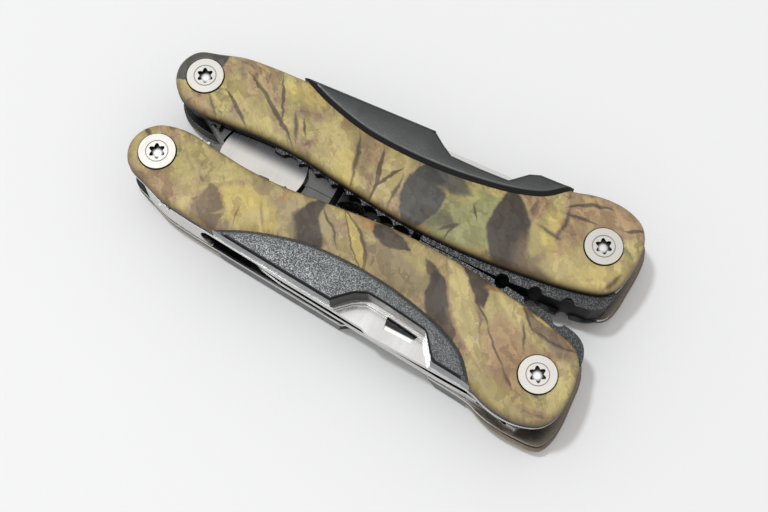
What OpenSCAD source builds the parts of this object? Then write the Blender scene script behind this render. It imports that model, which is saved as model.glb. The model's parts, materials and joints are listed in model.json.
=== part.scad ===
// Folding pocket multi tool: two handles side by side, pliers folded between them.
// X runs along the tool from the plier head (-X) to the tail (+X), +Z is up, and the
// tool lies flat on its side pads. Handle shapes are drawn for the back handle (+Y) in
// coordinates whose origin is midway between the four pivots; the front handle mirrors them.

/* [Handles] */
// Distance from the head pivots to the tail pivots
pivot_span = 87.2; // [86:0.1:88]
// Half the distance between the two head pivots
head_pivot_y = 9.45; // [9.3:0.05:9.6]
// Half the distance between the two tail pivots
tail_pivot_y = 14.55; // [14.4:0.05:14.7]
// Height of the space between the steel side plates
bay_height = 7.4; // [7.4:0.1:8]
// Thickness of each steel side plate
plate_t = 1.0; // [0.8:0.1:1.2]
// Thickness of each black frame plate
frame_t = 1.0; // [0.8:0.1:1.2]
// Thickness of each patterned scale
scale_t = 2.8; // [2.4:0.1:3.2]
// How far a pad stands above the scale beside it
pad_proud = 0.9; // [0.5:0.1:1.2]

/* [Pads] */
// Depth of the wide pads, as a share of the drawn curve
wide_pad = 1.12; // [1:0.01:1.15]
// Depth of the narrow pads, as a share of the drawn curve
narrow_pad = 0.9; // [0.85:0.01:1]
// How far the steel plate shows inside a thumb notch
notch_step = 0.7; // [0.3:0.1:1]

/* [Grip] */
// Pitch of the grip scallops
scallop_pitch = 3.85; // [3.8:0.05:3.9]
// Radius of one grip scallop
scallop_r = 2.3; // [2.2:0.05:2.35]
// Radius of the three round finger notches near the tail
finger_notch_r = 1.4; // [1.2:0.1:1.5]

/* [Pivots] */
// Outer radius of the barrel nut that everything turns on
barrel_r = 2.5; // [2.3:0.05:2.6]
// Radial running clearance of a turning part on its pin
running_gap = 0.06; // [0.03:0.01:0.09]
// Radius of the screw and barrel heads
head_r = 3.75; // [3.5:0.05:3.9]
// Thickness of those heads
head_t = 1.4; // [1.2:0.1:1.6]
// Radius of the screw's shank
shank_r = 1.55; // [1.4:0.05:1.6]

/* [Folding tools] */
// Thickness of each blade or driver
tool_t = 1.6; // [1.5:0.05:1.65]
// Pitch of the saw teeth
saw_pitch = 1.5; // [1.2:0.1:2]
// Pitch of the file's cuts
file_pitch = 0.9; // [0.8:0.1:1.2]

/* [Pliers] */
// Radius of the plier joint's round discs
joint_r = 9.2; // [9:0.1:9.3]
// Distance of the joint from the centre between the pivots
joint_x = -25; // [-25.2:0.1:-24.8]
// Radius of the joint pin
joint_pin_r = 2.5; // [2.2:0.1:2.8]
// Distance of the jaw tips past the joint
nose_length = 37; // [36:0.5:37.5]
// Pitch of the gripping teeth
tooth_pitch = 1.3; // [1:0.1:1.6]

/* [Hidden] */
$fn = 48;

curve_steps = 5;        // straight pieces between two neighbouring outline points
cut = 60;               // size of a block that cuts a region away
over = 0.5;             // how far a cutter runs past the face it cuts
slack = 0.1;            // clearance between faces that slide past each other
press_gap = 0.01;       // clearance of the joint pin in the jaw that holds it

head_x = -pivot_span / 2;
tail_x = pivot_span / 2;
head_pivot = [head_x, head_pivot_y];
tail_pivot = [tail_x, tail_pivot_y];
bay_half = bay_height / 2;
plate_z = bay_half + plate_t;
frame_z = plate_z + frame_t;
scale_z = frame_z + scale_t;
pad_z = scale_z + pad_proud;
head_z = scale_z + 0.2;               // top of the screw heads
bore_r = barrel_r + running_gap;
layer_pitch = bay_height / 4 - 0.05;  // four tools share the bay
centre_shift = [-0.95, 0, pad_z];      // from the drawing's centre to the middle of the footprint

// ---- Outlines, all for the back handle, as points [along, outward] ----

inner_side = [[-48.9, 6.3], [-46.6, 3.9], [-43.4, 2.75], [-39.5, 2.4], [-34, 3], [-26, 3.75], [-18, 3.65],
  [-11.5, 2.9], [-5, 2.15], [1, 1.5], [7.5, 1.05], [14, 1.1], [20, 1.35], [26.4, 1.95], [32, 2.7], [38, 3.6]];
tail_side = [[43.5, 4.8], [47.6, 6.3], [49.8, 8.8], [50.6, 12.2], [50.9, 16], [50.3, 19.9], [48.2, 22.8],
  [44.3, 24.3]];
tail_square = [[43.5, 4.2], [48, 4.2], [50.3, 5.6], [51.2, 8.6], [51.5, 13], [51.7, 17.8], [51.2, 21.6],
  [49.4, 24.2], [44.3, 24.7]];
outer_side = [[40, 24.4], [36.5, 23.7], [33.3, 22.7], [27, 22.1], [15, 21.35], [3, 20.6], [-7, 19.95],
  [-17.6, 19.25], [-26, 18.65], [-32.5, 18.2], [-38.6, 17.4]];
head_side = [[-43.6, 15.65], [-47.4, 14.3], [-49.2, 12.1], [-49.8, 9.3]];
pad_curve = [[-25.5, 18.68], [-18.5, 15.65], [-9, 13.2], [0, 12.6], [8.7, 13], [16, 14.05], [23, 15.7],
  [29, 18.3], [33.3, 22.7]];
grip_rim = [[-24, 3], [-18.3, 2.7], [-14.6, 2.45], [-10.8, 2], [-6.9, 1.5], [-3, 1], [1, 0.5], [4.9, 0.15],
  [9, 0.1], [15, 0.1], [21, 0.12], [27, 0.35], [31, 0.6], [37, 1.3], [40, 1.6], [44.6, 2.4], [47, 3],
  [48.8, 4.3], [49.8, 6.3], [50.1, 8]];
notch_wide = [[1.2, 24], [1.6, 20.8], [3.4, 18.9], [5.4, 17], [7.8, 15.8], [11.8, 16.1], [16.4, 16.6],
  [21, 17.2], [24.4, 21.5], [25, 24]];
notch_narrow = [[3.4, 24], [3.6, 20.4], [6.3, 18.6], [8.7, 17.3], [14.9, 17.5], [21.1, 18], [24.2, 21.1],
  [26.6, 22.2], [27, 24]];

// One point of a smooth curve between b and c, whose neighbours are a and d
function bend(a, b, c, d, t) =
  0.5 * (2 * b + (c - a) * t + (2 * a - 5 * b + 4 * c - d) * t * t + (3 * b - a - 3 * c + d) * t * t * t);
// A smooth closed curve through the points p
function closed_curve(p) = let (n = len(p)) [
  for (i = [0:n - 1], k = [0:curve_steps - 1])
    bend(p[(i + n - 1) % n], p[i], p[(i + 1) % n], p[(i + 2) % n], k / curve_steps)];
// A smooth open curve through the points p, ends included
function open_curve(p) = let (n = len(p)) concat([
  for (i = [0:n - 2], k = [0:curve_steps - 1])
    bend(p[max(i - 1, 0)], p[i], p[i + 1], p[min(i + 2, n - 1)], k / curve_steps)], [p[n - 1]]);
// Points moved outward by d
function shifted(p, d) = [for (q = p) q + [0, d]];
// The straight line under the pad's curve, which its depth is measured from
function pad_chord(x) = 18.5 + (x + 25) * 0.065;
function pad_edge(depth) = open_curve([
  for (q = pad_curve) [q[0], pad_chord(q[0]) * (1 - depth) + q[1] * depth]]);

module handle_2d(tail = tail_side, inner = 0, outer = 0) {
  polygon(closed_curve(concat(shifted(inner_side, inner), tail, shifted(outer_side, outer), head_side)));
}

// The blade-shaped region that belongs to a pad, open on the outer side
module pad_region_2d(depth) {
  polygon(concat(pad_edge(depth), [[33.3, 28], [-25.5, 28]]));
}

// The thumb notch, moved outward by step
module notch_2d(wide, step = 0) {
  translate([0, step]) polygon(wide ? notch_wide : notch_narrow);
}

module pivots_2d(r) {
  translate(head_pivot) circle(r);
  translate(tail_pivot) circle(r);
}

// ---- Placing ----

// Mirrors the drawing for the front handle, then moves it to the part's own origin
module on_handle(side) {
  translate(centre_shift) mirror([0, side == "front" ? 1 : 0, 0]) children();
}

// Turns what is drawn for the top of a handle over to its bottom
module on_face(face) {
  mirror([0, 0, face == "bottom" ? 1 : 0]) children();
}

module layer(z, height) {
  translate([0, 0, z]) linear_extrude(height) children();
}

// Extrudes each shape on its own and joins them as solids
module joined_layer(z, height) {
  for (i = [0:$children - 1]) layer(z, height) children(i);
}

// The wide pad is on the front handle's top and the back handle's bottom
function is_wide(side, face) = (side == "front") == (face == "top");
function pad_depth(side, face) = is_wide(side, face) ? wide_pad : narrow_pad;
function tail_of(face) = face == "top" ? tail_side : tail_square;

// ---- Handle parts ----

module side_plate(side, face) {
  on_face(face) layer(bay_half, plate_t) difference() {
    handle_2d(tail = tail_of(face), inner = 0.5, outer = 0.1);
    notch_2d(is_wide(side, face), notch_step);
    pivots_2d(bore_r);
  }
}

web_start = -45;
web_end = -27;
web_t = 1;
// Curved outer wall near the head, hollowed at its free end
module web() {
  difference() {
    layer(-bay_half, bay_height) intersection() {
      difference() {
        handle_2d();
        handle_2d(outer = -web_t);
        translate(head_pivot) circle(6.2 - web_t);
      }
      translate([web_start, head_pivot_y]) square([web_end - web_start, 15]);
    }
    translate([web_end + 1.9, 10, 0]) rotate([-90, 0, 0]) cylinder(r = 4.2, h = 15);
  }
}

module channel(side) {
  color("silver") on_handle(side) union() {
    side_plate(side, "top");
    side_plate(side, "bottom");
    web();
  }
}

scallop_out = 1.4;      // how far outside the rim the scallops are centred
notch_out = 0.3;        // the same for the round finger notches
lip_drop = 0.8;         // how far the grip lip lies below the frame plate
module grip_cuts_2d() {
  for (x = [-20.2:scallop_pitch:7]) translate([x, lookup(x, grip_rim) - scallop_out]) circle(scallop_r);
  for (x = [29, 35.8, 42.4]) translate([x, lookup(x, grip_rim) - notch_out]) circle(finger_notch_r);
  translate([9, -2]) square([1.8, 3]);
}

module frame_2d(side, face) {
  difference() {
    handle_2d(tail = tail_of(face), outer = -0.2);
    pad_region_2d(pad_depth(side, face));
    pivots_2d(bore_r);
  }
}

// Lip between the edge of the steel plate and the grip rim
module lip_2d(face) {
  difference() {
    polygon(concat(open_curve(grip_rim), [[44, 12], [0, 8], [-24, 8]]));
    handle_2d(tail = tail_of(face), inner = 0.4, outer = 0.1);
  }
}

spring_x = -38.6;
spring_w = 2.4;
spring_t = 0.5;
// Black plate under the scale, with the lower grip lip that faces the other handle
module frame_plate(side, face) {
  color([0.1, 0.1, 0.11]) on_handle(side) on_face(face) difference() {
    union() {
      layer(plate_z, frame_t) frame_2d(side, face);
      layer(plate_z - lip_drop, frame_t) lip_2d(face);
    }
    layer(plate_z - lip_drop - over, cut) grip_cuts_2d();
    if (face == "top") translate([spring_x - 0.15, 0, plate_z - over])
      cube([spring_w + 0.3, 25, over + spring_t + 0.1]);
  }
}

// Leaf that clicks the opened handle in place, showing at both edges of the handle
module detent_spring(side) {
  color("gainsboro") on_handle(side) translate([spring_x, 0, plate_z]) difference() {
    translate([0, 1.7, 0]) cube([spring_w, 16.6, spring_t]);
    for (y = [1.7, 18.3]) translate([spring_w / 2, y, -over]) cylinder(r = 0.6, h = cut);
  }
}

module patterned_scale(side, face) {
  color([0.66, 0.56, 0.36]) on_handle(side) on_face(face) difference() {
    layer(frame_z, scale_t) difference() {
      handle_2d(tail = tail_of(face));
      pad_region_2d(pad_depth(side, face));
      pivots_2d(bore_r);
    }
    layer(head_z - head_t - slack, cut) pivots_2d(head_r + 0.2);
  }
}

module pad(side, face) {
  color([0.17, 0.18, 0.19]) on_handle(side) on_face(face) layer(plate_z, pad_z - plate_z) difference() {
    intersection() {
      handle_2d();
      pad_region_2d(pad_depth(side, face));
    }
    notch_2d(is_wide(side, face));
  }
}

// Black wall that closes the inner side of the tool bay near the tail
module grip_spacer(side) {
  color([0.08, 0.08, 0.09]) on_handle(side) layer(-bay_half, bay_height) polygon([
    [14, 2], [22, 1.8], [30, 1.9], [38, 2.4], [44, 3], [47, 3.5], [48.8, 4.7], [49.5, 6.2],
    [47.6, 5.9], [46.4, 4.5], [44, 4.1], [30, 3.9], [14, 3.9]]);
}

// Leaf that presses on the tools' tangs
module tool_spring(side) {
  color("lightgray") on_handle(side) layer(-bay_half + slack, bay_height - 2 * slack) polygon([
    [16, 4], [44, 4.15], [46.2, 4.55], [46.6, 4.9], [43.5, 4.9], [40, 4.85], [16, 4.8]]);
}

// Six-lobed driver socket
module socket_2d() {
  polygon([for (a = [0:7.5:352.5]) (1.42 + 0.3 * cos(6 * a)) * [cos(a), sin(a)]]);
}

// Flat screw or nut head with a fine ring round its socket, its face at z = 0
module fastener_head() {
  difference() {
    translate([0, 0, -head_t]) cylinder(r = head_r, h = head_t);
    translate([0, 0, -1.1]) linear_extrude(1.1 + over) socket_2d();
    rotate_extrude() translate([2.15, -0.14]) square([0.18, 1]);
  }
}

module pivot_screw(side, at) {
  color("whitesmoke") on_handle(side) translate([at[0], at[1], 0]) {
    translate([0, 0, head_z]) fastener_head();
    translate([0, 0, -3]) cylinder(r = shank_r, h = head_z - head_t + 3);
  }
}

module pivot_barrel(side, at) {
  color("silver") on_handle(side) translate([at[0], at[1], 0]) {
    mirror([0, 0, 1]) translate([0, 0, head_z]) fastener_head();
    difference() {
      translate([0, 0, head_t - head_z]) cylinder(r = barrel_r, h = head_z - head_t + frame_z - slack);
      translate([0, 0, -3.2]) cylinder(r = shank_r + 0.05, h = cut);
    }
  }
}

// Shims above, between and below the tools
module tool_washers(side) {
  color("silver") on_handle(side) for (i = [0:4]) {
    gap_z = i == 0 ? -bay_half : i == 4 ? layer_z(3) + tool_t : layer_z(i - 1) + tool_t;
    gap = i == 0 ? layer_z(0) + bay_half : i == 4 ? bay_half - gap_z : layer_z(i) - gap_z;
    translate([tail_x, tail_pivot_y, gap_z + 0.02]) linear_extrude(gap - 0.04) difference() {
      circle(4.3);
      circle(barrel_r + 0.1);
    }
  }
}

// ---- Folding tools, drawn folded in the back handle ----

// Lower face of layer i, counted from the bottom of the bay
function layer_z(i) = -2 * layer_pitch + i * layer_pitch + (layer_pitch - tool_t) / 2;

tang_kick = [[33, 22.3], [38.6, 22.9], [42, 23.75], [44.4, 23.9], [45.2, 22.6], [46.6, 19.6], [44, 11],
  [38, 11.6], [33, 14.5]];
// A tool's shapes with the rounded tang and its kick, which stops against the spring
module tool_body() {
  difference() {
    union() {
      linear_extrude(tool_t) translate(tail_pivot) circle(6);
      linear_extrude(tool_t) polygon(tang_kick);
      for (i = [0:$children - 1]) linear_extrude(tool_t) children(i);
    }
    translate([tail_x, tail_pivot_y, -over]) cylinder(r = bore_r, h = tool_t + 2 * over);
  }
}

module in_layer(side, i) {
  on_handle(side) translate([0, 0, layer_z(i)]) children();
}

// Cuts both faces of a tool back to a thin edge along a line from a towards b
module grind(a, b, width, edge_t = 0.25) {
  length = norm(b - a);
  tilt = atan((tool_t - edge_t) / 2 / width);
  translate([a[0], a[1], tool_t / 2]) rotate([0, 0, atan2(b[1] - a[1], b[0] - a[0])])
    for (up = [0, 1]) mirror([0, 0, up]) translate([-over, 0, edge_t / 2]) rotate([tilt, 0, 0])
      translate([0, -8, 0]) cube([length + over, 8 + width * 1.05, 4]);
}

blade_edge = [[31, 12.6], [28.5, 11.2], [-8, 11], [-12.4, 11.6], [-16.4, 13], [-19.6, 14.8], [-22, 16.7]];
blade_point = [[-19.4, 18], [-15, 19.2], [-10, 19.75]];
blade_spine = [[1.7, 20.5], [9, 21.1], [10.5, 21.75], [26.8, 22.1], [34, 22.3], [36, 18], [36, 13]];
serrated_spine = [[1.7, 20], [9, 20.3], [26.8, 21.3], [34, 22], [36, 18], [36, 13]];
module blade_2d(spine) {
  polygon(concat(blade_edge, open_curve(blade_point), spine));
}

nail_nick = [[12.5, 16.4], [20, 16.9], [18.8, 19.3], [13, 19.3]];
nick_depth = 0.7;
module blade_cuts() {
  grind([-7, 10.9], [27.5, 10.9], 5);
  grind([-24, 16.6], [-6.4, 10.4], 4.2);
  translate([0, 0, tool_t - nick_depth]) linear_extrude(nick_depth + over) polygon(nail_nick);
}

module knife_blade() {
  color("gainsboro") in_layer("front", 3) difference() {
    tool_body() blade_2d(blade_spine);
    blade_cuts();
  }
}

module serrated_blade() {
  color("gainsboro") in_layer("back", 3) difference() {
    tool_body() blade_2d(serrated_spine);
    blade_cuts();
    for (x = [-6:2.6:26]) translate([x, 10.6, -over]) cylinder(r = 1.1, h = tool_t + 2 * over, $fn = 24);
  }
}

module phillips_driver() {
  color("silver") in_layer("front", 2) tool_body() {
    polygon([[8, 14.6], [8, 17.8], [24, 17.8], [30, 20], [36, 20.4], [38, 12], [30, 13], [24, 14.6]]);
    polygon([[8.5, 14.6], [8.5, 17.8], [8, 17.8], [4, 16.7], [4, 15.7], [8, 14.6]]);
  }
}

saw_back = [[-20.5, 15], [-19.4, 17.2], [-15, 18.9], [-10, 19.7], [3, 20.6], [26.8, 22.1], [34, 22.3],
  [36, 18]];
module wood_saw() {
  color("silver") in_layer("front", 1) difference() {
    tool_body() polygon(concat([[33, 12.5]],
      [for (x = [29:-saw_pitch:-16.5]) each [[x, 11], [x - saw_pitch * 0.45, 12.1]]], saw_back));
    translate([38.2, 26.8, -over]) cylinder(r = 5.2, h = tool_t + 2 * over);
  }
}

module bottle_opener() {
  color("silver") in_layer("front", 0) difference() {
    tool_body() polygon([[34, 12.4], [26, 12.2], [14, 12.6], [6, 13.4], [3.4, 15.2], [3, 18], [5, 20.5],
      [12, 21], [26.8, 22], [34, 22.3], [37, 18]]);
    translate([13, 12.2, -over]) cylinder(r = 3.4, h = tool_t + 2 * over);
    translate([8.6, 11.6, -over]) cylinder(r = 2, h = tool_t + 2 * over);
  }
}

module flat_driver() {
  color("silver") in_layer("back", 2) tool_body()
    polygon([[4, 14.4], [4, 18], [7, 18], [9, 17.6], [24, 17.9], [30, 20], [36, 20.4], [38, 12], [30, 13],
      [24, 14.5], [9, 14.8], [7, 14.4]]);
}

module can_opener() {
  color("silver") in_layer("back", 1) difference() {
    tool_body() polygon([[34, 12.4], [24, 12], [12, 11.4], [5, 10.8], [3, 12.4], [8, 13.8], [8.5, 16],
      [4.5, 17.5], [5, 20.4], [12, 21], [26.8, 22], [34, 22.3], [37, 18]]);
    translate([38.2, 26.8, -over]) cylinder(r = 5.2, h = tool_t + 2 * over);
  }
}

file_cut = 0.25;
module file() {
  color("silver") in_layer("back", 0) difference() {
    tool_body() polygon([[34, 12.4], [26, 12], [-17, 12], [-19, 13.4], [-19.6, 16], [-18.6, 18.4],
      [-10, 19.6], [3, 20.5], [26.8, 22], [34, 22.3], [37, 18]]);
    for (x = [-16:file_pitch:22]) translate([x, 16, 0]) rotate([0, 45, 0])
      cube([file_cut, 6.4, file_cut], center = true);
  }
}

// ---- Pliers, drawn as the half whose tang is in the back handle ----

joint = [joint_x, 0];
jaw_half = bay_half - slack;
nose_x = joint_x + nose_length;
nose_gap = 0.03;        // each nose stands this far from the middle line
nose_drop = 0.6;        // step down from the disc to the nose
nose_low = 1.8;         // depth of the thin part of the nose below the disc
disc_gap = 0.45;        // gap round the disc in the other jaw

// Its outer side meets the joint where the other half's nose stops short at full opening
module tang_arm_2d() {
  polygon([[-45.4, 6], [-42.8, 4.75], [-34.4, 0.35], [-25, 0], [-27.7, 8.9], [-29.2, 11.6], [-37, 13.6],
    [-41.6, 14]]);
}

module nose_2d() {
  difference() {
    polygon([[joint_x, -nose_gap], [joint_x, -9.2], [-22, -8.75], [-14, -7.3], [-5, -5.4], [4, -3.6],
      [nose_x - 1.2, -1.9], [nose_x, -1.2], [nose_x, -nose_gap]]);
    for (x = [-0.6:tooth_pitch:nose_x - 1.5]) polygon([[x, 0.1], [x + 0.5, -0.45], [x + 1, 0.1]]);
    translate([-4.4, 2.6]) circle(4.4);
  }
}

// Tang and nose together, over part of the jaw's thickness
module tang_and_nose(z, height) {
  joined_layer(z, height) {
    translate(head_pivot) circle(4.9);
    tang_arm_2d();
    nose_2d();
  }
}

// All that lies past a disc of radius r round the joint
module past_disc_2d(r) {
  difference() {
    translate([joint_x + 4, -12]) square([nose_length, 24]);
    translate(joint) circle(r);
  }
}

// Both faces drop past the disc, then drop again and thin towards the tip
module nose_taper() {
  for (up = [0, 1]) mirror([0, 0, up]) {
    layer(jaw_half - nose_drop, cut) past_disc_2d(joint_r);
    translate([-8, -12, jaw_half - nose_low]) rotate([0, 2.5, 0]) cube([30, 12, 4]);
    translate([-8, -12, jaw_half - nose_low]) rotate([0, -45, 0]) cube([4, 12, 4]);
  }
}

// Recess beside the visible disc, wider towards the front
module disc_recess(front) {
  layer(jaw_half - nose_drop - 1, nose_drop + 1 + over) intersection() {
    past_disc_2d(joint_r + slack);
    translate([joint_x + 0.5, front]) circle(joint_r + 1);
  }
}

// One jaw: full thickness away from the joint, half thickness at the joint
module jaw_half_body() {
  difference() {
    union() {
      tang_and_nose(-jaw_half, 2 * jaw_half);
      layer(-jaw_half, jaw_half - slack / 2) translate(joint) circle(joint_r);
    }
    layer(-slack / 2, cut) translate(joint) circle(joint_r + disc_gap);
    nose_taper();
    layer(-cut / 2, cut) translate(head_pivot) circle(bore_r);
  }
}

// The half with its tang in the front handle, and the visible disc
module jaw_front() {
  color("lightgray") translate(centre_shift) rotate([180, 0, 0]) difference() {
    jaw_half_body();
    mirror([0, 0, 1]) disc_recess(3);
    layer(-2.4, cut) translate(joint) circle(joint_pin_r + press_gap);
  }
}

module jaw_back() {
  color("lightgray") translate(centre_shift) difference() {
    jaw_half_body();
    disc_recess(-3);
    layer(-cut / 2, cut) translate(joint) circle(joint_pin_r + running_gap);
    layer(-jaw_half - over, over + 1.1) translate(joint) circle(4.1);
  }
}

module joint_pin() {
  color("silver") translate(centre_shift) translate([joint_x, 0, 0]) union() {
    translate([0, 0, -jaw_half]) cylinder(r = joint_pin_r, h = jaw_half + 2.4);
    translate([0, 0, -jaw_half]) cylinder(r = 4, h = 1);
  }
}

channel("front");  // front_channel
frame_plate("front", "top");  // front_top_frame
frame_plate("front", "bottom");  // front_bottom_frame
patterned_scale("front", "top");  // front_top_scale
patterned_scale("front", "bottom");  // front_bottom_scale
pad("front", "top");  // front_top_pad
pad("front", "bottom");  // front_bottom_pad
grip_spacer("front");  // front_grip_spacer
tool_spring("front");  // front_tool_spring
detent_spring("front");  // front_detent_spring
pivot_screw("front", head_pivot);  // front_head_screw
pivot_barrel("front", head_pivot);  // front_head_barrel
pivot_screw("front", tail_pivot);  // front_tail_screw
pivot_barrel("front", tail_pivot);  // front_tail_barrel
tool_washers("front");  // front_tool_washers
channel("back");  // back_channel
frame_plate("back", "top");  // back_top_frame
frame_plate("back", "bottom");  // back_bottom_frame
patterned_scale("back", "top");  // back_top_scale
patterned_scale("back", "bottom");  // back_bottom_scale
pad("back", "top");  // back_top_pad
pad("back", "bottom");  // back_bottom_pad
grip_spacer("back");  // back_grip_spacer
tool_spring("back");  // back_tool_spring
detent_spring("back");  // back_detent_spring
pivot_screw("back", head_pivot);  // back_head_screw
pivot_barrel("back", head_pivot);  // back_head_barrel
pivot_screw("back", tail_pivot);  // back_tail_screw
pivot_barrel("back", tail_pivot);  // back_tail_barrel
tool_washers("back");  // back_tool_washers
jaw_front();
jaw_back();
joint_pin();
knife_blade();
phillips_driver();
wood_saw();
bottle_opener();
serrated_blade();
flat_driver();
can_opener();
file();
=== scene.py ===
"""Looks of the folding pocket multi tool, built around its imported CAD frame.

Lengths inside the helpers are millimetres in the part's own frame; Blender gets metres.
"""
import json
import math

import bmesh
import bpy
import numpy as np
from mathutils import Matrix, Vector
from mathutils.geometry import delaunay_2d_cdt

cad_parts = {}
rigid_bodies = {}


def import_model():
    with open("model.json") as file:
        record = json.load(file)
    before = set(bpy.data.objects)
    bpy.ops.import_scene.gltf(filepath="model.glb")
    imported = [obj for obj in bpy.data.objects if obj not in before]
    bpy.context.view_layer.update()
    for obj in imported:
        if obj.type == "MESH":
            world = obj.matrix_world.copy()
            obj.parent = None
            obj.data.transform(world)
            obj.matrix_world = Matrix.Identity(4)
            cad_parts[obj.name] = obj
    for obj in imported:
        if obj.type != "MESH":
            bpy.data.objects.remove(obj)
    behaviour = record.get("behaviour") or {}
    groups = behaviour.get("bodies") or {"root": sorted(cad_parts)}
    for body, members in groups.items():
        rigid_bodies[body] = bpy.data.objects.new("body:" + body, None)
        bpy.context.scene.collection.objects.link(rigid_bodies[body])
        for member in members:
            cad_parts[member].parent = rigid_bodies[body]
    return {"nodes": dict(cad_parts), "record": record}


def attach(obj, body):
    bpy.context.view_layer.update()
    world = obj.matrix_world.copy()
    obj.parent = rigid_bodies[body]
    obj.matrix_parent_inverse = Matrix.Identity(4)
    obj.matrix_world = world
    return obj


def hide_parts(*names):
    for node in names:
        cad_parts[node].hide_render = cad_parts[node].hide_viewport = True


MM = 0.001
MID_Z = 9.4          # height of the tool's middle plane
SCALE_FACE = 8.5     # outer face of a scale, from the middle plane
HEAD_PIVOT = (-44.55, 9.45)         # x, and y outward from the tool's centre line
TAIL_PIVOT = (42.65, 14.55)
BAY = 3.7            # half height of the tool bay, from the middle plane
DISC = (-25.95, 0)   # middle of the pliers' joint disc
DISC_R = 9.2
NOSE_X = -9          # where the plier noses begin
NICK_X = (11.3, 19.3)               # the blades' nail nick, in x, y outward and height
NICK_OUT = (16.35, 19.4)
NICK_HIGH = (2.7, 3.46)
NOTCH_X = 6.9        # where a pad's thumb notch begins

for ob in list(bpy.data.objects):
    bpy.data.objects.remove(ob)

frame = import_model()
bpy.context.view_layer.update()
nodes = frame["nodes"]
body_of_node = {n: body for body, names in frame["record"]["behaviour"]["bodies"].items() for n in names}


# ---- Camera, floor and light ----

def add_camera():
    cam = bpy.data.objects.new("camera", bpy.data.cameras.new("camera"))
    bpy.context.scene.collection.objects.link(cam)
    cam.data.sensor_width = 36
    cam.data.lens = 65.2
    cam.data.clip_start = 0.01
    cam.location = (0.04705, -0.0841, 0.2741)
    aim = Vector((0.00587, -0.00751, 0.0181)) - cam.location
    cam.rotation_euler = aim.to_track_quat("-Z", "Y").to_euler()
    bpy.context.scene.camera = cam


def add_lamp(name, place, size, power, colour):
    """A square area lamp that points at the middle of the floor."""
    light = bpy.data.lights.new(name, "AREA")
    light.size = size
    light.energy = power
    light.color = colour
    ob = bpy.data.objects.new(name, light)
    bpy.context.scene.collection.objects.link(ob)
    ob.location = place
    ob.rotation_euler = (-Vector(place)).to_track_quat("-Z", "Y").to_euler()


def add_world(horizon, zenith, strength):
    """Soft light from all round, brighter from above."""
    world = bpy.data.worlds.new("studio")
    bpy.context.scene.world = world
    world.use_nodes = True
    tree = world.node_tree
    tree.nodes.clear()
    coord = tree.nodes.new("ShaderNodeTexCoord")
    split = tree.nodes.new("ShaderNodeSeparateXYZ")
    ramp = tree.nodes.new("ShaderNodeValToRGB")
    back = tree.nodes.new("ShaderNodeBackground")
    out = tree.nodes.new("ShaderNodeOutputWorld")
    tree.links.new(coord.outputs["Generated"], split.inputs[0])
    tree.links.new(split.outputs["Z"], ramp.inputs["Fac"])
    tree.links.new(ramp.outputs["Color"], back.inputs["Color"])
    tree.links.new(back.outputs[0], out.inputs[0])
    for element, colour in zip(ramp.color_ramp.elements, (horizon, zenith)):
        element.color = (*colour, 1)
    back.inputs["Strength"].default_value = strength


add_camera()
add_lamp("key", (-0.37, -0.05, 1.38), 0.1, 6.6, (0.97, 0.985, 1))
add_world((0.24, 0.237, 0.232), (1.04, 1.025, 0.995), 0.93)
bpy.context.scene.view_settings.view_transform = "Standard"


# ---- Node materials ----

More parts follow.
